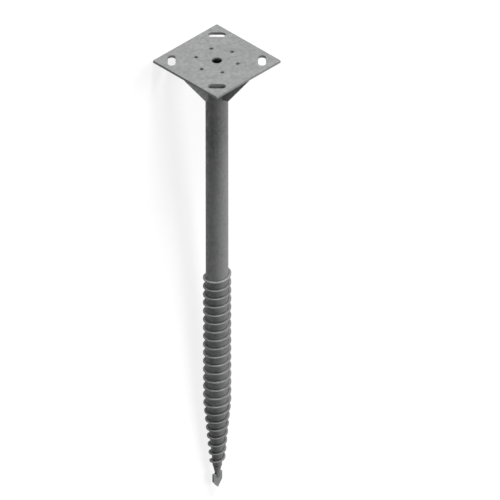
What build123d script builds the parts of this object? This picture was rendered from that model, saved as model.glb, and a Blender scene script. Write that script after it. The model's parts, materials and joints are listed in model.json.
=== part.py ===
"""Ground screw with a bolting flange, welded from steel pieces and hot-dip galvanised.

A round tube, swaged to a taper at its lower end, hangs under a square flange plate that four
triangular gussets brace. A flat steel strip wound on edge makes the thread, along the lower
part of the straight tube and on down the taper. A slotted steel point closes the tube and
holds a flat spear-shaped blade that starts the hole.

Every piece is drawn in the screw's own frame: its axis is Z, the flange's top face lies at
z = 0 and the blade's tip points down. +X and +Y are square to the flange's sides. The whole
screw is then laid down as it comes to rest on a floor: on one edge of the flange and on the
thread. In the finished frame +Z is up, the flange is at the -X end, and the origin is on the
floor under the middle of the object's box.
"""

from build123d import *
import math
import os

# Driving dimensions, in millimetres and degrees.
# Depths are measured down from the flange's top face, or from the piece above where it says so.

# Flange plate
flange_side = 300.0
flange_thickness = 10.0
flange_edge_break = 0.8
centre_hole_diameter = 35.0
cap_hole_count = 6
cap_hole_diameter = 13.5
cap_hole_circle = 143.0
slot_length = 60.0
slot_width = 26.0
slot_circle = 300.0

# Tube: straight under the flange, then swaged to a taper
tube_diameter = 76.1
tube_wall = 3.6
straight_length = 1375.0
taper_length = 267.0
nose_diameter = 31.0

# Gussets, one under the middle of each side of the flange
gusset_count = 4
gusset_thickness = 8.0
gusset_height = 130.0
gusset_foot = 15.0
gusset_reach = 110.0
gusset_outer_edge = 3.0

# Thread: a strip on edge, wound right-handed, that ends a little above the tube's nose
thread_length = 786.6
thread_pitch = 34.2
thread_end_gap = 8.4
thread_start_angle = 225.0
strip_height = 9.5
strip_thickness = 4.0
strip_run_out_turns = 0.2
strip_run_out_height = 1.5
strip_root_gap = 0.1
sections_per_turn = 2
stations_per_section = 8

# Point: a solid cone with a spigot in the tube's nose and a slot for the blade
point_length = 74.0
spigot_length = 16.0
spigot_clearance = 0.15

# Blade: a flat plate, square at the top and pointed below
blade_width = 40.0
blade_thickness = 8.0
blade_seat_depth = 34.0
blade_side_length = 31.0
blade_tip_length = 27.0
blade_clearance = 0.1

# Worked out from the driving dimensions
tube_radius = tube_diameter / 2
nose_radius = nose_diameter / 2
taper_top_depth = flange_thickness + straight_length
nose_depth = taper_top_depth + taper_length
taper_per_mm = (tube_radius - nose_radius) / taper_length
blade_top_depth = nose_depth + blade_seat_depth
thread_turns = thread_length / thread_pitch
thread_start_depth = nose_depth - thread_end_gap - thread_length


def tube_radius_at(depth):
    """Outer radius of the tube at a depth under the flange's top face."""
    return tube_radius - taper_per_mm * max(0.0, depth - taper_top_depth)


def flange_plate():
    """Square plate with a hole at its middle, a circle of holes for a cap, and four corner slots."""
    plate = Pos(0, 0, -flange_thickness / 2) * Box(flange_side, flange_side, flange_thickness)
    plate = chamfer(plate.edges(), flange_edge_break)
    through = 2 * flange_thickness
    plate -= Cylinder(centre_hole_diameter / 2, 2 * through)
    for hole in PolarLocations(cap_hole_circle / 2, cap_hole_count):
        plate -= hole * Cylinder(cap_hole_diameter / 2, 2 * through)
    slot = extrude(SlotOverall(slot_length, slot_width, rotation=90), through, both=True)
    for corner in PolarLocations(slot_circle / 2, 4, start_angle=45):
        plate -= corner * slot
    return plate


def shaft_tube():
    """Tube from the flange's underside to its nose, its wall as thick along the taper."""
    slant = math.hypot(1, taper_per_mm)
    inner_nose_radius = nose_radius - tube_wall * slant
    # The inner wall starts to taper a little higher than the outer one, so the wall keeps its thickness.
    inner_taper_top = nose_depth - (tube_radius - tube_wall - inner_nose_radius) / taper_per_mm
    section = Polyline(
        (tube_radius - tube_wall, -flange_thickness),
        (tube_radius, -flange_thickness),
        (tube_radius, -taper_top_depth),
        (nose_radius, -nose_depth),
        (inner_nose_radius, -nose_depth),
        (tube_radius - tube_wall, -inner_taper_top),
        close=True,
    )
    return revolve(Plane.XZ * make_face(section), Axis.Z)


def gusset(angle):
    """Triangular rib between the tube and the flange's underside, square to one side of the flange."""
    outline = Polyline(
        (0, 0),
        (gusset_reach, 0),
        (gusset_reach, -gusset_outer_edge),
        (gusset_foot, -gusset_height),
        (0, -gusset_height),
        close=True,
    )
    rib = extrude(Plane.XZ * make_face(outline), gusset_thickness / 2, both=True)
    return Rot(0, 0, angle) * Pos(tube_radius, 0, -flange_thickness) * rib


def thread_height_at(turn):
    """How far the strip stands out of the tube: full height, bevelled down at both of its ends."""
    from_end = min(turn, thread_turns - turn)
    share = min(1.0, from_end / strip_run_out_turns)
    return strip_run_out_height + (strip_height - strip_run_out_height) * share


def thread_corner(turn, crest, side):
    """A corner of the strip's section: at its root or crest, on its upper (1) or lower (-1) side."""
    depth = thread_start_depth + thread_pitch * turn - side * strip_thickness / 2
    angle = math.radians(thread_start_angle) - math.tau * turn
    radius = tube_radius_at(depth) + strip_root_gap + (thread_height_at(turn) if crest else 0)
    return Vector(radius * math.cos(angle), radius * math.sin(angle), -depth)


def thread_rail(turns, crest, side):
    """Curve along one corner of the strip through these turns, running on smoothly past both ends."""
    step = 1e-4
    tangents = [
        (thread_corner(t + step, crest, side) - thread_corner(t - step, crest, side)).normalized()
        for t in (turns[0], turns[-1])
    ]
    points = [thread_corner(t, crest, side) for t in turns]
    return Spline(*points, tangents=tangents, tangent_scalars=(1.0, 1.0))


def thread_strip():
    """The thread, section by section: ruled faces between curves that run along its four corners."""
    corners = [(False, 1), (True, 1), (True, -1), (False, -1)]
    sections = math.ceil(thread_turns * sections_per_turn)
    stations = sections * stations_per_section
    faces = []
    for section in range(sections):
        first = section * stations_per_section
        turns = [thread_turns * (first + i) / stations for i in range(stations_per_section + 1)]
        rails = [thread_rail(turns, *corner) for corner in corners]
        faces += [Face.make_surface_from_curves(rails[i], rails[(i + 1) % 4]) for i in range(4)]
    for turn in (0, thread_turns):
        end = Polyline(*[thread_corner(turn, *corner) for corner in corners], close=True)
        faces.append(Face(Wire(end.edges())))
    return Solid(Shell(faces))


def point_cone():
    """Solid point under the tube's nose, with a spigot up inside it and a slot for the blade."""
    spigot_radius = nose_radius - tube_wall * math.hypot(1, taper_per_mm) - spigot_clearance
    section = Polyline(
        (0, -nose_depth + spigot_length),
        (spigot_radius, -nose_depth + spigot_length),
        (spigot_radius, -nose_depth),
        (nose_radius, -nose_depth),
        (0, -nose_depth - point_length),
        close=True,
    )
    cone = revolve(Plane.XZ * make_face(section), Axis.Z)
    slot_height = point_length
    slot = Box(nose_diameter * 2, blade_thickness + 2 * blade_clearance, slot_height)
    return cone - Pos(0, 0, -blade_top_depth - slot_height / 2) * slot


def point_blade():
    """Flat blade in the point's slot: square shoulders at the top, a spear point below."""
    half = blade_width / 2
    outline = Polyline(
        (-half, 0),
        (half, 0),
        (half, -blade_side_length),
        (0, -blade_side_length - blade_tip_length),
        (-half, -blade_side_length),
        close=True,
    )
    blade = extrude(Plane.XZ * make_face(outline), blade_thickness / 2, both=True)
    return Pos(0, 0, -blade_top_depth) * blade


def resting_tilt():
    """Angle between the screw's axis and the floor, lying on the flange's edge and on the thread.

    The strip passes under the tube (towards -Y) once a turn, and the floor is the flattest
    line from the flange's lower edge to one of those crests.
    """
    tilts = []
    first = (thread_start_angle - 270) % 360 / 360
    for turn in range(int(thread_turns - first) + 1):
        here = first + turn
        depth = thread_start_depth + thread_pitch * here
        crest = tube_radius_at(depth) + strip_root_gap + thread_height_at(here)
        low_side = depth + strip_thickness / 2
        tilts.append(math.atan2(flange_side / 2 - crest, low_side - flange_thickness))
    return math.degrees(min(tilts))


pieces = {
    "flange_plate": flange_plate(),
    "shaft_tube": shaft_tube(),
    "thread_strip": thread_strip(),
    "point_cone": point_cone(),
    "point_blade": point_blade(),
}
for index in range(gusset_count):
    pieces[f"gusset_{index + 1}"] = gusset(360 / gusset_count * index)

# Lay the screw down: its Y becomes up, its X points to -Y, and its flange faces -X, a little raised.
lying = Rot(0, resting_tilt(), 0) * Location(Plane(origin=(0, 0, 0), x_dir=(0, -1, 0), z_dir=(-1, 0, 0)))
box = Compound(children=[lying * piece for piece in pieces.values()]).bounding_box()
to_origin = Pos(-(box.min.X + box.max.X) / 2, -(box.min.Y + box.max.Y) / 2, -box.min.Z)

os.makedirs("parts", exist_ok=True)
for name, piece in pieces.items():
    export_step(to_origin * lying * piece, f"parts/{name}.step")
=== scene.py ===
"""Studio scene of the ground screw: hot-dip galvanised steel, fillet welds, and a camera high on one side.

Every place is worked out from the flange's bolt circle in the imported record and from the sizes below.
Lengths are in metres. A depth is measured down the shaft from the flange's top face.
"""

import json
import math
from itertools import accumulate

import bmesh
import bpy
from mathutils import Matrix, Vector, noise


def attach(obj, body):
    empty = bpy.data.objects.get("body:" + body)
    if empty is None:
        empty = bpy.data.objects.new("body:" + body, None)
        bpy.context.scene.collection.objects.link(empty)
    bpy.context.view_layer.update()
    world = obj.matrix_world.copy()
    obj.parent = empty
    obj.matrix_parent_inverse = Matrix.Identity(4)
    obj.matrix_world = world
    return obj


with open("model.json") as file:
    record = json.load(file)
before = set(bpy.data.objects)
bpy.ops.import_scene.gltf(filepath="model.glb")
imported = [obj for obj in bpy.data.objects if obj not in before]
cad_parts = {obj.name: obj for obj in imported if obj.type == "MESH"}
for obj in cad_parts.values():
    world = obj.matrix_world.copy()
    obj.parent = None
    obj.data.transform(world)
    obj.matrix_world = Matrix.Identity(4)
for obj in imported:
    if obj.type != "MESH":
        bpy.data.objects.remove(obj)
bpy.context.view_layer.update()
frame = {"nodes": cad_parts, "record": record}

MM = 0.001

# The screw's own sizes, the same as in the part's source
FLANGE_THICKNESS = 10 * MM
TUBE_RADIUS = 38.05 * MM
STRAIGHT_LENGTH = 1375 * MM
TAPER_LENGTH = 267 * MM
NOSE_RADIUS = 15.5 * MM
GUSSET_HALF_THICKNESS = 4 * MM
GUSSET_HEIGHT = 130 * MM
GUSSET_REACH = 110 * MM
THREAD_LENGTH = 786.6 * MM
THREAD_PITCH = 34.2 * MM
THREAD_END_GAP = 8.4 * MM
THREAD_START_ANGLE = math.radians(225)
STRIP_HALF_THICKNESS = 2 * MM
POINT_LENGTH = 74 * MM
BLADE_SEAT_DEPTH = 34 * MM
BLADE_HALF_THICKNESS = 4 * MM

TAPER_TOP_DEPTH = FLANGE_THICKNESS + STRAIGHT_LENGTH
NOSE_DEPTH = TAPER_TOP_DEPTH + TAPER_LENGTH
THREAD_START_DEPTH = NOSE_DEPTH - THREAD_END_GAP - THREAD_LENGTH
THREAD_TURNS = THREAD_LENGTH / THREAD_PITCH
BLADE_TOP_DEPTH = NOSE_DEPTH + BLADE_SEAT_DEPTH

# The screw's own axes in the row frame: up the shaft, and square to the two flange sides that face the camera
flange_top = next(m for m in frame["record"]["mounts"] if m["name"] == "cap_bolts")
TOP = Vector(flange_top["pos_m"])
UP = Vector(flange_top["axis"]).normalized()
LEFT = Vector((0, -1, 0))
RIGHT = UP.cross(LEFT)


def at(x, y, depth):
    """Row-frame point x and y from the shaft's axis, at this depth."""
    return TOP + LEFT * x + RIGHT * y - UP * depth


def radial(angle):
    """Unit vector away from the shaft's axis."""
    return LEFT * math.cos(angle) + RIGHT * math.sin(angle)


def tube_radius_at(depth):
    share = max(0.0, (depth - TAPER_TOP_DEPTH) / TAPER_LENGTH)
    return TUBE_RADIUS + (NOSE_RADIUS - TUBE_RADIUS) * share


# ---------------------------------------------------------------- materials


class Nodes:
    """Short names for building a node tree."""

    def __init__(self, tree):
        self.tree = tree

    def put(self, socket, value):
        """Links value to the socket if it is one, and otherwise sets it there."""
        if isinstance(value, bpy.types.NodeSocket):
            self.tree.links.new(value, socket)
        else:
            socket.default_value = value

    def add(self, kind, **inputs):
        node = self.tree.nodes.new(kind)
        for name, value in inputs.items():
            self.put(node.inputs[name.replace("_", " ")], value)
        return node

    def run(self, kind, operation, *values):
        """First output of a maths node whose sockets take the values in order."""
        node = self.tree.nodes.new(kind)
        node.operation = operation
        for socket, value in zip(node.inputs, values):
            self.put(socket, value)
        return node.outputs[0]

    def math(self, operation, *values):
        return self.run("ShaderNodeMath", operation, *values)

    def vector(self, operation, *values):
        return self.run("ShaderNodeVectorMath", operation, *values)

    def scaled(self, colour, factor):
        node = self.tree.nodes.new("ShaderNodeVectorMath")
        node.operation = "SCALE"
        self.put(node.inputs[0], colour)
        self.put(node.inputs["Scale"], factor)
        return node.outputs[0]

    def blend(self, factor, first, second):
        """From the first colour to the second."""
        first_socket, second_socket, result = 6, 7, 2  # in its colour mode; their names are not unique
        node = self.add("ShaderNodeMix", Factor=factor)
        node.data_type = "RGBA"
        self.put(node.inputs[first_socket], (*first, 1))
        self.put(node.inputs[second_socket], (*second, 1))
        return node.outputs[result]

    def spread(self, value, low, high):
        """A 0 to 1 value mapped to low to high."""
        return self.add("ShaderNodeMapRange", Value=value, To_Min=low, To_Max=high).outputs["Result"]

    def noise(self, vector, scale, detail, roughness=0.55):
        node = self.add("ShaderNodeTexNoise", Vector=vector, Scale=scale, Detail=detail, Roughness=roughness)
        return node.outputs["Fac"]

    def cells(self, vector, scale):
        """A colour per crystal, and the distance from its middle."""
        node = self.add("ShaderNodeTexVoronoi", Vector=vector, Scale=scale)
        return node.outputs["Color"], node.outputs["Distance"]

    def channel(self, colour, name):
        return self.add("ShaderNodeSeparateColor", Color=colour).outputs[name]


def empty_material(name):
    """A new material and the short names for its cleared node tree."""
    material = bpy.data.materials.new(name)
    material.use_nodes = True
    material.node_tree.nodes.clear()
    return material, Nodes(material.node_tree)


def galvanised(name, cool, warm, base_roughness, spangle_share=1.0):
    """Zinc on steel: faint spangle, cloudy mottling, lengthwise streaks and a fine dry grain, with painted
    shade in joints and inner corners.
    """
    material, n = empty_material(name)
    place = n.add("ShaderNodeTexCoord").outputs["Object"]

    # Streaks: the first coordinate is turned to run down the shaft, and drawn out
    drawn_out = (0.06, 1, 1)
    lengthwise = n.add("ShaderNodeMapping", Vector=place, Rotation=(0, -math.asin(UP.z), 0), Scale=drawn_out)
    streaks = n.noise(lengthwise.outputs["Vector"], scale=70, detail=4)

    # Spangle: large and small crystals with wandering borders
    wander = n.add("ShaderNodeTexNoise", Vector=place, Scale=45.0, Detail=2.0)
    border_drift = (12 * MM,) * 3
    bent = n.vector("MULTIPLY_ADD", wander.outputs["Color"], border_drift, place)
    crystals, from_middle = n.cells(bent, scale=95.0)
    crystal_tone, crystal_gloss = n.channel(crystals, "Red"), n.channel(crystals, "Green")
    small_crystals, _ = n.cells(bent, scale=310.0)
    small_tone = n.channel(small_crystals, "Red")

    clouds = n.noise(place, scale=7, detail=5, roughness=0.6)
    patches = n.noise(place, scale=26, detail=4, roughness=0.6)
    grain = n.noise(place, scale=1400, detail=2)

    # How far each layer lightens and darkens the zinc
    layers = ((clouds, 0.10), (crystal_tone, 0.10 * spangle_share), (small_tone, 0.05 * spangle_share),
              (patches, 0.12), (streaks, 0.10), (grain, 0.08))
    tone = 1.0
    for value, half in layers:
        tone = n.math("MULTIPLY", tone, n.spread(value, 1 - half, 1 + half))

    # Painted shade: ambient occlusion darkens the zinc's colour within 5 mm of joints and inner corners
    painted_shade_ao = n.add("ShaderNodeAmbientOcclusion", Distance=5 * MM)
    painted_shade_ao.samples = 6
    darkest_painted_shade = 0.35
    tone = n.math("MULTIPLY", tone, n.spread(painted_shade_ao.outputs["AO"], darkest_painted_shade, 1.0))

    colour = n.scaled(n.blend(patches, cool, warm), tone)

    rough = n.math("ADD", n.spread(crystal_gloss, -0.12, 0.12), n.spread(patches, -0.10, 0.10))
    rough = n.math("ADD", rough, base_roughness)

    unevenness = n.noise(place, scale=160, detail=3)
    height = n.math("ADD", unevenness, n.spread(grain, 0, 0.25))
    height = n.math("ADD", height, n.spread(from_middle, 0, 0.25))
    bump = n.add("ShaderNodeBump", Height=height, Strength=0.5, Distance=0.4 * MM)

    # Each crystal faces its own way, so it catches the light a little differently
    facing = n.vector("SUBTRACT", crystals, (0.5,) * 3)
    lean = (0.14 * spangle_share,) * 3
    tilted = n.vector("MULTIPLY_ADD", facing, lean, bump.outputs["Normal"])

    steel = n.add("ShaderNodeBsdfPrincipled", Base_Color=colour, Roughness=rough, Metallic=0.12,
                  Specular_IOR_Level=0.25, Normal=n.vector("NORMALIZE", tilted))
    n.add("ShaderNodeOutputMaterial", Surface=steel.outputs["BSDF"])
    return material


def backdrop_mix(n, lit, shown):
    """The lit shader for light that falls on the object, and the shown one for the eye and reflections."""
    path = n.add("ShaderNodeLightPath")
    seen = n.math("MAXIMUM", path.outputs["Is Camera Ray"], path.outputs["Is Glossy Ray"])
    seen = n.math("MAXIMUM", seen, path.outputs["Is Transmission Ray"])
    mix = n.add("ShaderNodeMixShader")
    for socket, value in zip(mix.inputs, (seen, lit.outputs[0], shown.outputs[0])):
        n.put(socket, value)
    return mix.outputs[0]


def floor_material():
    """Pale floor that shows nearly white and keeps the object's shadow."""
    material, n = empty_material("studio_floor")
    lit = n.add("ShaderNodeBsdfDiffuse", Color=(0.08, 0.08, 0.08, 1))
    pale = n.add("ShaderNodeBsdfDiffuse", Color=(0.40, 0.40, 0.40, 1))
    glow = n.add("ShaderNodeEmission", Color=(1, 1, 1, 1), Strength=0.84)
    shown = n.add("ShaderNodeAddShader")
    n.put(shown.inputs[0], pale.outputs[0])
    n.put(shown.inputs[1], glow.outputs[0])
    n.add("ShaderNodeOutputMaterial", Surface=backdrop_mix(n, lit, shown))
    return material


zinc = galvanised("galvanised_steel", cool=(0.395, 0.405, 0.415), warm=(0.425, 0.425, 0.415),
                  base_roughness=0.57)
zinc_weld = galvanised("galvanised_weld", cool=(0.37, 0.38, 0.39), warm=(0.41, 0.41, 0.405),
                       base_roughness=0.60, spangle_share=0.4)


# ---------------------------------------------------------------- the CAD pieces

SHARP_EDGE = math.radians(35)
SAME_PLANE = math.radians(0.5)


def dress_cad_nodes():
    """Zinc on every CAD piece, and soft edges where cut and bent steel has them."""
    edge_radius = {"flange_plate": 0.5 * MM, "point_blade": 0.7 * MM, "thread_strip": 0.5 * MM}
    edge_radius.update({f"gusset_{i}": 0.6 * MM for i in (1, 2, 3, 4)})
    for name, node in frame["nodes"].items():
        for material_slot in node.material_slots:
            material_slot.material = zinc
        if name in edge_radius:
            soften(node, edge_radius[name], flat_faced=name != "thread_strip")


def soften(piece, radius, flat_faced):
    """Joins the mesh along its seams, makes its flat faces whole and rounds its sharp edges."""
    weld = piece.modifiers.new("seams", "WELD")
    weld.merge_threshold = 0.005 * MM
    if flat_faced:
        flats = piece.modifiers.new("flats", "DECIMATE")
        flats.decimate_type = "DISSOLVE"
        flats.angle_limit = SAME_PLANE
    bevel = piece.modifiers.new("edges", "BEVEL")
    bevel.width = radius
    bevel.segments = 2
    bevel.limit_method = "ANGLE"
    bevel.angle_limit = SHARP_EDGE
    bevel.harden_normals = True
    bevel.use_clamp_overlap = True


# ---------------------------------------------------------------- welds

RIPPLE_PITCH = 3.0 * MM
BEAD_STEP = 0.6 * MM
BEAD_SIDES = 5
BEAD_ROOT = 0.3 * MM  # how far a bead's hidden corner is sunk into the joint

# Shares of a bead's leg
CROWN_RISE = 0.16
RIPPLE_RISE = 0.13
CROWN_LEAD = 0.30  # how far the crown runs ahead of the edges, which makes the ripples crescents
EVEN_SIZE = 0.93
RIPPLE_SIZE = 0.06
WOBBLE_SIZE = 0.10
END_SIZE = 0.45

WOBBLE_SCALE = 120  # of the noise that makes a bead thicker and thinner

# Size of each fillet, from its corner to its edge
FLANGE_LEG = 5.0 * MM
THREAD_LEG = 2.6 * MM
NOSE_LEG = 2.4 * MM
BLADE_LEG = 1.8 * MM


def way_along(points, i, closed):
    """Unit vector along the route at its point i."""
    if closed:
        return (points[(i + 1) % len(points)] - points[i - 1]).normalized()
    return (points[min(i + 1, len(points) - 1)] - points[max(i - 1, 0)]).normalized()


def bead_ring(point, a, b, along, leg, ripple):
    """Section of a fillet between the ways a and b: its hidden corner, and a crown that bulges and leads."""
    outward = (a + b).normalized()
    ring = [point - outward * BEAD_ROOT]
    for k in range(BEAD_SIDES + 1):
        t = k / BEAD_SIDES
        crown = math.sin(math.pi * t)
        bulge = outward * (CROWN_RISE + RIPPLE_RISE * ripple) + along * CROWN_LEAD
        ring.append(point + (a * (1 - t) + b * t + bulge * crown) * leg)
    return ring


def add_bead(bm, route, leg, closed=False):
    """A rippled fillet weld along route, a list of (corner point, one surface's way, the other's way)."""
    points = [point for point, _, _ in route]
    spans = [(q - p).length for p, q in zip(points, points[1:])]
    length = sum(spans)
    runs = [0.0, *accumulate(spans)]
    rings = []
    for i, (run, (point, a, b)) in enumerate(zip(runs, route)):
        ripple = abs(math.sin(math.pi * run / RIPPLE_PITCH))
        wobble = noise.noise(point * WOBBLE_SCALE)
        size = leg * (EVEN_SIZE + RIPPLE_SIZE * ripple + WOBBLE_SIZE * wobble)
        if not closed:
            size *= min(1.0, END_SIZE + (1 - END_SIZE) * min(run, length - run) / leg)
        ring = bead_ring(point, a, b, way_along(points, i, closed), size, ripple)
        rings.append([bm.verts.new(p) for p in ring])
    pairs = list(zip(rings, rings[1:]))
    if closed:
        pairs.append((rings[-1], rings[0]))
    for first, second in pairs:
        for k in range(len(first)):
            following = (k + 1) % len(first)
            bm.faces.new((first[k], first[following], second[following], second[k]))
    if not closed:
        bm.faces.new(rings[0][::-1])
        bm.faces.new(rings[-1])


def finish_piece(name, bm):
    """One mesh object in weld zinc that rides with the part."""
    bmesh.ops.recalc_face_normals(bm, faces=bm.faces)
    mesh = bpy.data.meshes.new(name)
    bm.to_mesh(mesh)
    bm.free()
    mesh.shade_smooth()
    piece = bpy.data.objects.new(name, mesh)
    bpy.context.scene.collection.objects.link(piece)
    piece.data.materials.append(zinc_weld)
    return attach(piece, "root")


def straight_route(start, end, a, b):
    count = max(2, round((end - start).length / BEAD_STEP))
    return [(start.lerp(end, i / count), a, b) for i in range(count + 1)]


def tube_and_flange_route(start, end):
    """Round the tube, under the flange, from one angle to another."""
    steps = 90
    ways = [radial(start + (end - start) * i / steps) for i in range(steps + 1)]
    return [(TOP - UP * FLANGE_THICKNESS + away * TUBE_RADIUS, away, -UP) for away in ways]


def flange_welds():
    """Beads between tube and flange, and on both sides of each gusset."""
    bm = bmesh.new()
    quarter_turn = math.pi / 2
    gap = math.asin(GUSSET_HALF_THICKNESS / TUBE_RADIUS)
    tube_face = math.sqrt(TUBE_RADIUS**2 - GUSSET_HALF_THICKNESS**2)
    bead_end = TUBE_RADIUS + GUSSET_REACH - 2 * MM
    for quarter in range(4):
        angle = quarter_turn * quarter
        add_bead(bm, tube_and_flange_route(angle + gap, angle + quarter_turn - gap), FLANGE_LEG)
        out = radial(angle)
        across = UP.cross(out)
        for side in (across, -across):
            face = TOP - UP * FLANGE_THICKNESS + side * GUSSET_HALF_THICKNESS
            inner = face + out * tube_face
            add_bead(bm, straight_route(inner, face + out * bead_end, side, -UP), FLANGE_LEG)
            add_bead(bm, straight_route(inner, inner - UP * GUSSET_HEIGHT, side, out), FLANGE_LEG)
    return finish_piece("flange_weld_beads", bm)


def thread_weld():
    """The bead that holds the strip, along its lower side, short of the strip's bevelled ends."""
    bm = bmesh.new()
    steps_per_turn = 200
    end_turns = 0.08
    turns = THREAD_TURNS - 2 * end_turns
    steps = round(turns * steps_per_turn)
    taper = Vector((NOSE_RADIUS - TUBE_RADIUS, -TAPER_LENGTH)).normalized()
    route = []
    for i in range(steps + 1):
        turn = end_turns + turns * i / steps
        depth = THREAD_START_DEPTH + THREAD_PITCH * turn + STRIP_HALF_THICKNESS
        away = radial(THREAD_START_ANGLE - math.tau * turn)
        down_wall = away * taper.x + UP * taper.y if depth > TAPER_TOP_DEPTH else -UP
        route.append((TOP - UP * depth + away * tube_radius_at(depth), away, down_wall))
    add_bead(bm, route, THREAD_LEG)
    return finish_piece("thread_weld_bead", bm)


def nose_route():
    """The ring where the point meets the tube's nose, sunk so that only a low crown shows."""
    steps = 120
    ring_radius = NOSE_RADIUS - 1.4 * MM
    route = []
    for i in range(steps):
        away = radial(math.tau * i / steps)
        corner = TOP - UP * NOSE_DEPTH + away * ring_radius
        route.append((corner, (away + UP).normalized(), (away - UP).normalized()))
    return route


def blade_route(face, side):
    """Down one edge of the point where it lies on a face of the blade."""
    steps = 40
    length = 19 * MM
    route = []
    for i in range(steps + 1):
        depth = BLADE_TOP_DEPTH + length * i / steps
        radius = NOSE_RADIUS * (1 - (depth - NOSE_DEPTH) / POINT_LENGTH)
        reach = math.sqrt(max(radius**2 - BLADE_HALF_THICKNESS**2, 0.0))
        route.append((at(reach * side, BLADE_HALF_THICKNESS * face, depth), LEFT * side, RIGHT * face))
    return route


def point_welds():
    """The ring at the nose, and the four beads that hold the blade."""
    bm = bmesh.new()
    add_bead(bm, nose_route(), NOSE_LEG, closed=True)
    for face in (1, -1):
        for side in (1, -1):
            add_bead(bm, blade_route(face, side), BLADE_LEG)
    return finish_piece("point_weld_beads", bm)


# ---------------------------------------------------------------- studio


def soft_sun(name, toward, strength, spread_degrees):
    """A broad distant lamp that shines from the way toward points."""
    light = bpy.data.lights.new(name, "SUN")
    light.energy = strength
    light.angle = math.radians(spread_degrees)
    lamp = bpy.data.objects.new(name, light)
    bpy.context.scene.collection.objects.link(lamp)
    lamp.rotation_mode = "QUATERNION"
    lamp.rotation_quaternion = toward.to_track_quat("Z", "Y")


def studio():
    """Pale floor and surround, two lamps from the flange's end for the thread's upper faces, one overhead."""
    bpy.ops.mesh.primitive_plane_add(size=80, location=(0, 0, 0))
    floor = bpy.context.object
    floor.name = "studio_floor"
    floor.data.materials.append(floor_material())

    soft_sun("key", Vector((-0.92, 0.12, 0.38)), strength=1.50, spread_degrees=18)
    soft_sun("side", UP * 0.96 + LEFT * 0.25, strength=1.10, spread_degrees=14)
    soft_sun("overhead", Vector((0.0, 0.60, 0.80)), strength=1.00, spread_degrees=40)

    world = bpy.data.worlds.new("surround")
    bpy.context.scene.world = world
    world.use_nodes = True
    world.node_tree.nodes.clear()
    n = Nodes(world.node_tree)
    lit = n.add("ShaderNodeBackground", Color=(0.96, 0.98, 1.0, 1), Strength=0.02)
    shown = n.add("ShaderNodeBackground", Color=(1, 1, 1, 1), Strength=1.0)
    n.add("ShaderNodeOutputWorld", Surface=backdrop_mix(n, lit, shown))


def camera():
    """A very long lens that faces two flange sides and the shaft alike, rolled so the shaft is upright."""
    toward = (LEFT + RIGHT + UP).normalized()
    across = (RIGHT - LEFT).normalized()
    upright = toward.cross(across)
    lens, sensor = 1600.0, 36.0
    shaft_middle = 0.87
    frame_width = 1.67
    frame_centre = TOP + across * 0.110 - upright * 0.6292
    distance = frame_width * lens / sensor - shaft_middle * UP.dot(toward)
    data = bpy.data.cameras.new("camera")
    data.lens, data.sensor_width = lens, sensor
    data.clip_start, data.clip_end = 1.0, 200.0
    eye = bpy.data.objects.new("camera", data)
    bpy.context.scene.collection.objects.link(eye)
    turn = Matrix((across, upright, toward)).transposed().to_4x4()
    eye.matrix_world = Matrix.Translation(frame_centre + toward * distance) @ turn
    bpy.context.scene.camera = eye


dress_cad_nodes()
flange_welds()
thread_weld()
point_welds()
studio()
camera()
bpy.context.scene.view_settings.view_transform = "Standard"

bpy.context.view_layer.update()
